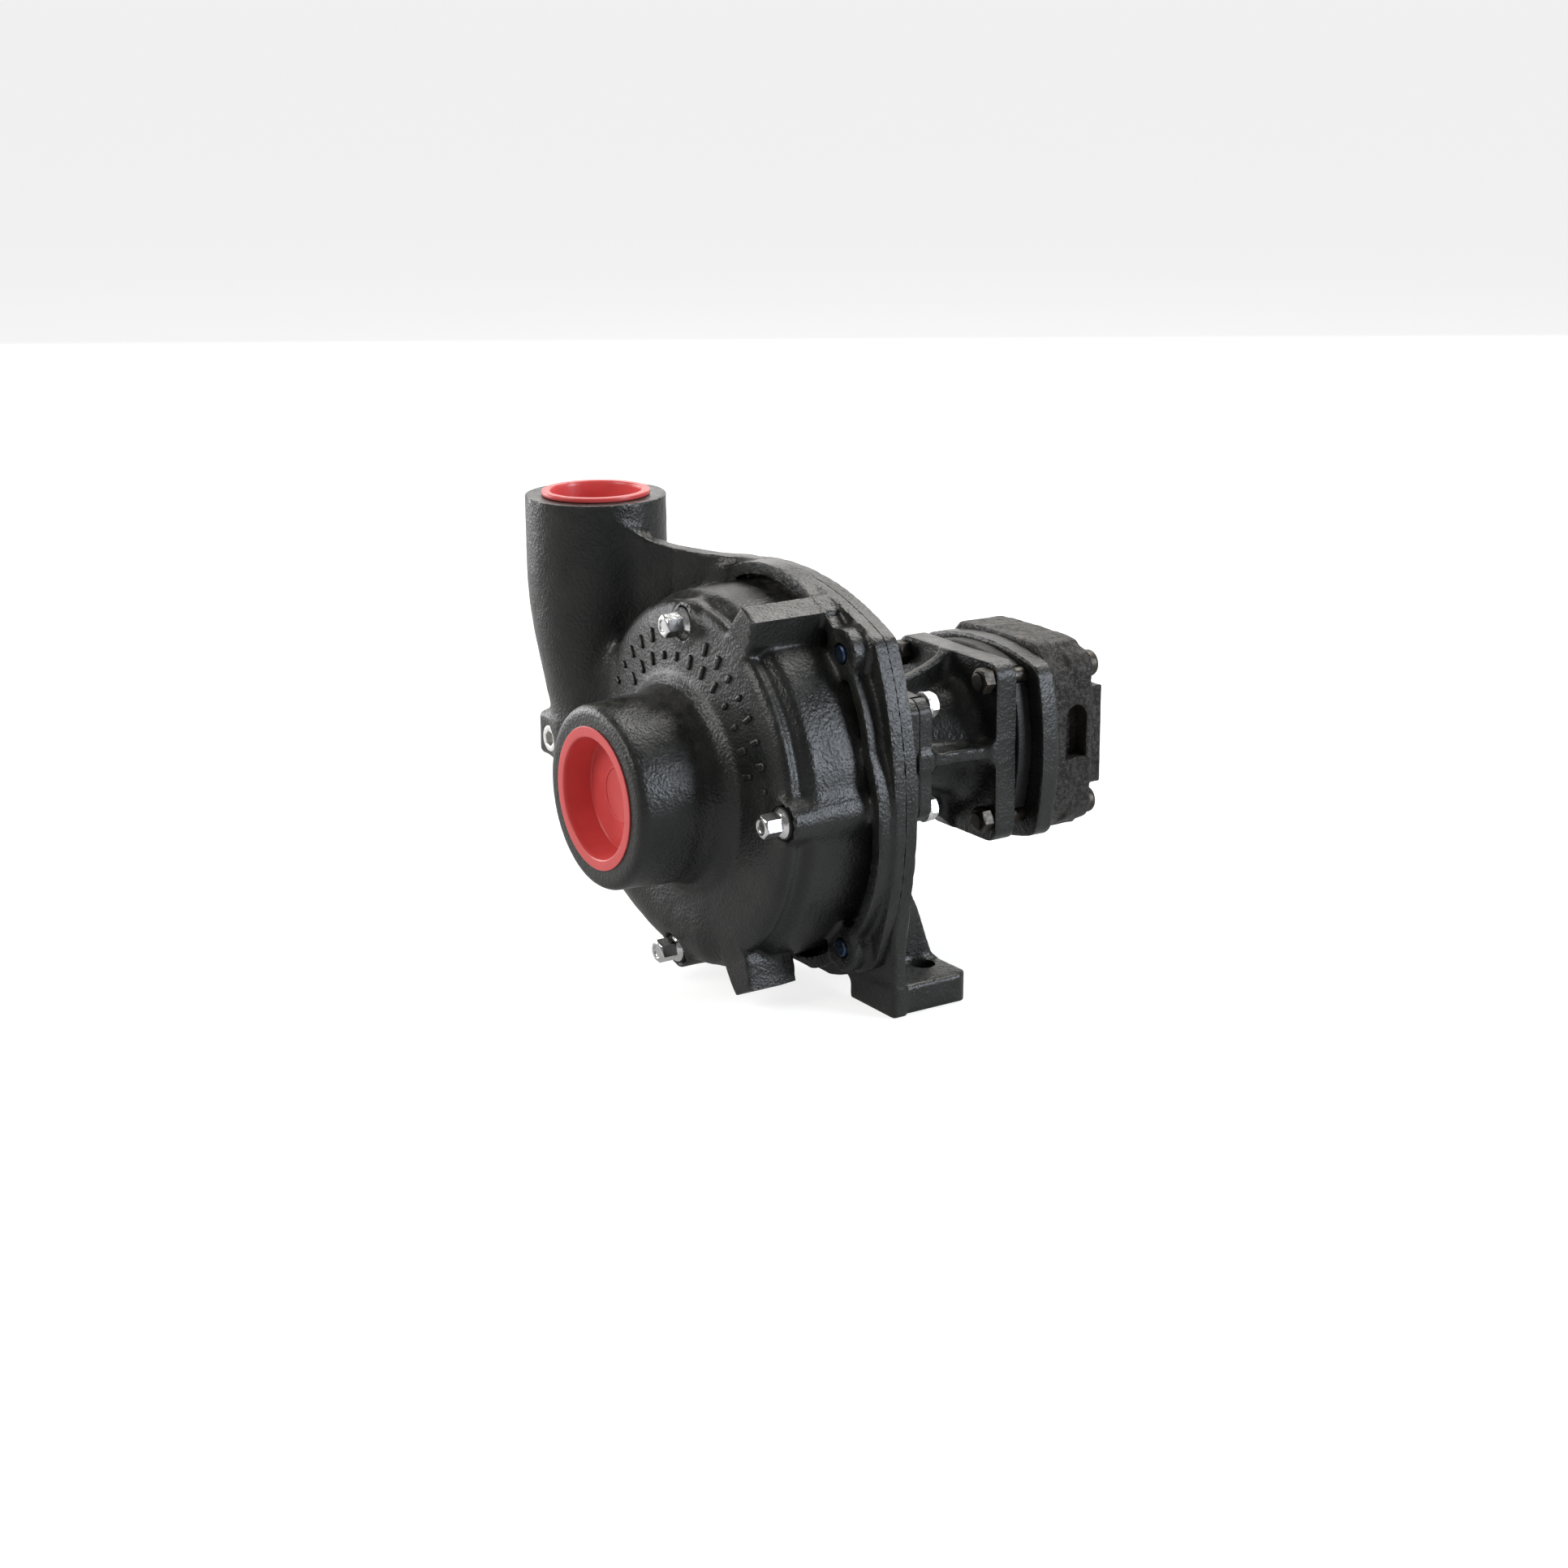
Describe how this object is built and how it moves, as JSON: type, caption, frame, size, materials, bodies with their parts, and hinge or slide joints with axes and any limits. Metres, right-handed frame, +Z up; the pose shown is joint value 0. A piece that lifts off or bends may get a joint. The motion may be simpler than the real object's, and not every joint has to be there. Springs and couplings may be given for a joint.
{
  "type": "centrifugal water pump",
  "caption": "Flange-mounted centrifugal pump in cast iron with side suction, upright discharge, feet and a hydraulic gear motor on a bell adapter.",
  "frame": {"origin": "midway between the two foot holes, on the base plane", "axes": "+Z up, +Y along the shaft from the pump to the motor, -X towards the discharge port"},
  "size_m": [0.2359, 0.2578, 0.2158],
  "materials": {
    "black_casting": "satin black paint on sand-cast iron",
    "dark_plate": "matt black paint",
    "rough_casting": "rough dark cast surface",
    "red_plastic": "glossy moulded plastic",
    "bright_steel": "bright plated",
    "black_rubber": "matt",
    "blued_steel": "blue passivated",
    "zinc_steel": "dull zinc",
    "black_steel": "black oxide",
    "grey_iron": "plain cast",
    "stainless": "turned",
    "carbon": "lapped carbon",
    "ceramic": "lapped ceramic",
    "bearing_steel": "ground",
    "gear_steel": "ground",
    "bronze": "bronze"
  },
  "bodies": {
    "housing": {"casing": "black_casting", "mounting_flange": "black_casting", "front_screws": "bright_steel", "front_washers": "black_rubber", "flange_bolts": "blued_steel", "vent_plug": "zinc_steel", "motor_adapter": "black_casting", "adapter_bolts": "zinc_steel", "adapter_washers": "zinc_steel", "front_plate": "dark_plate", "gear_housing": "black_casting", "rear_cover": "rough_casting", "motor_bolts": "black_steel", "motor_nuts": "black_steel", "seal_seat": "ceramic", "seat_cup": "black_rubber", "casing_oring": "black_rubber", "front_race_outer": "bearing_steel", "rear_race_outer": "bearing_steel", "hub_ring": "black_steel", "lip_seal": "black_rubber", "side_plate_front": "bronze", "side_plate_rear": "bronze", "bush_front": "bronze", "bush_rear": "bronze", "body_oring_front": "black_rubber", "body_oring_rear": "black_rubber", "dowel_pins": "gear_steel"},
    "rotor": {"pump_shaft": "stainless", "impeller": "grey_iron", "impeller_nut": "stainless", "impeller_key": "stainless", "seal_bellows": "black_rubber", "seal_head": "carbon", "slinger": "black_rubber", "front_race_inner": "bearing_steel", "rear_race_inner": "bearing_steel", "shaft_ring": "black_steel", "drive_gear": "gear_steel", "drive_key": "gear_steel"},
    "ball_sets": {"front_balls": "bearing_steel", "rear_balls": "bearing_steel"},
    "idler": {"idler_gear": "gear_steel", "idler_shaft": "gear_steel"},
    "suction_cap": {"suction_cap": "red_plastic"},
    "discharge_cap": {"discharge_cap": "red_plastic"}
  },
  "joints": [
    {"name": "rotor_spin", "type": "hinge", "parent": "housing", "child": "rotor", "pos_m": [0, 0, 0.098], "axis": [0, 1, 0], "continuous": true},
    {"name": "ball_roll", "type": "hinge", "parent": "housing", "child": "ball_sets", "pos_m": [0, 0, 0.098], "axis": [0, 1, 0], "continuous": true},
    {"name": "idler_spin", "type": "hinge", "parent": "housing", "child": "idler", "pos_m": [0, 0, 0.0716], "axis": [0, 1, 0], "continuous": true},
    {"name": "suction_cap_pull", "type": "slide", "parent": "housing", "child": "suction_cap", "axis": [0, -1, 0], "range_m": [0, 0.04]},
    {"name": "discharge_cap_pull", "type": "slide", "parent": "housing", "child": "discharge_cap", "axis": [0, 0, 1], "range_m": [0, 0.04]}
  ],
  "couplings": [
    {"joint": "ball_roll", "follows": "rotor_spin", "ratio": 0.3836},
    {"joint": "idler_spin", "follows": "rotor_spin", "ratio": -1}
  ]
}
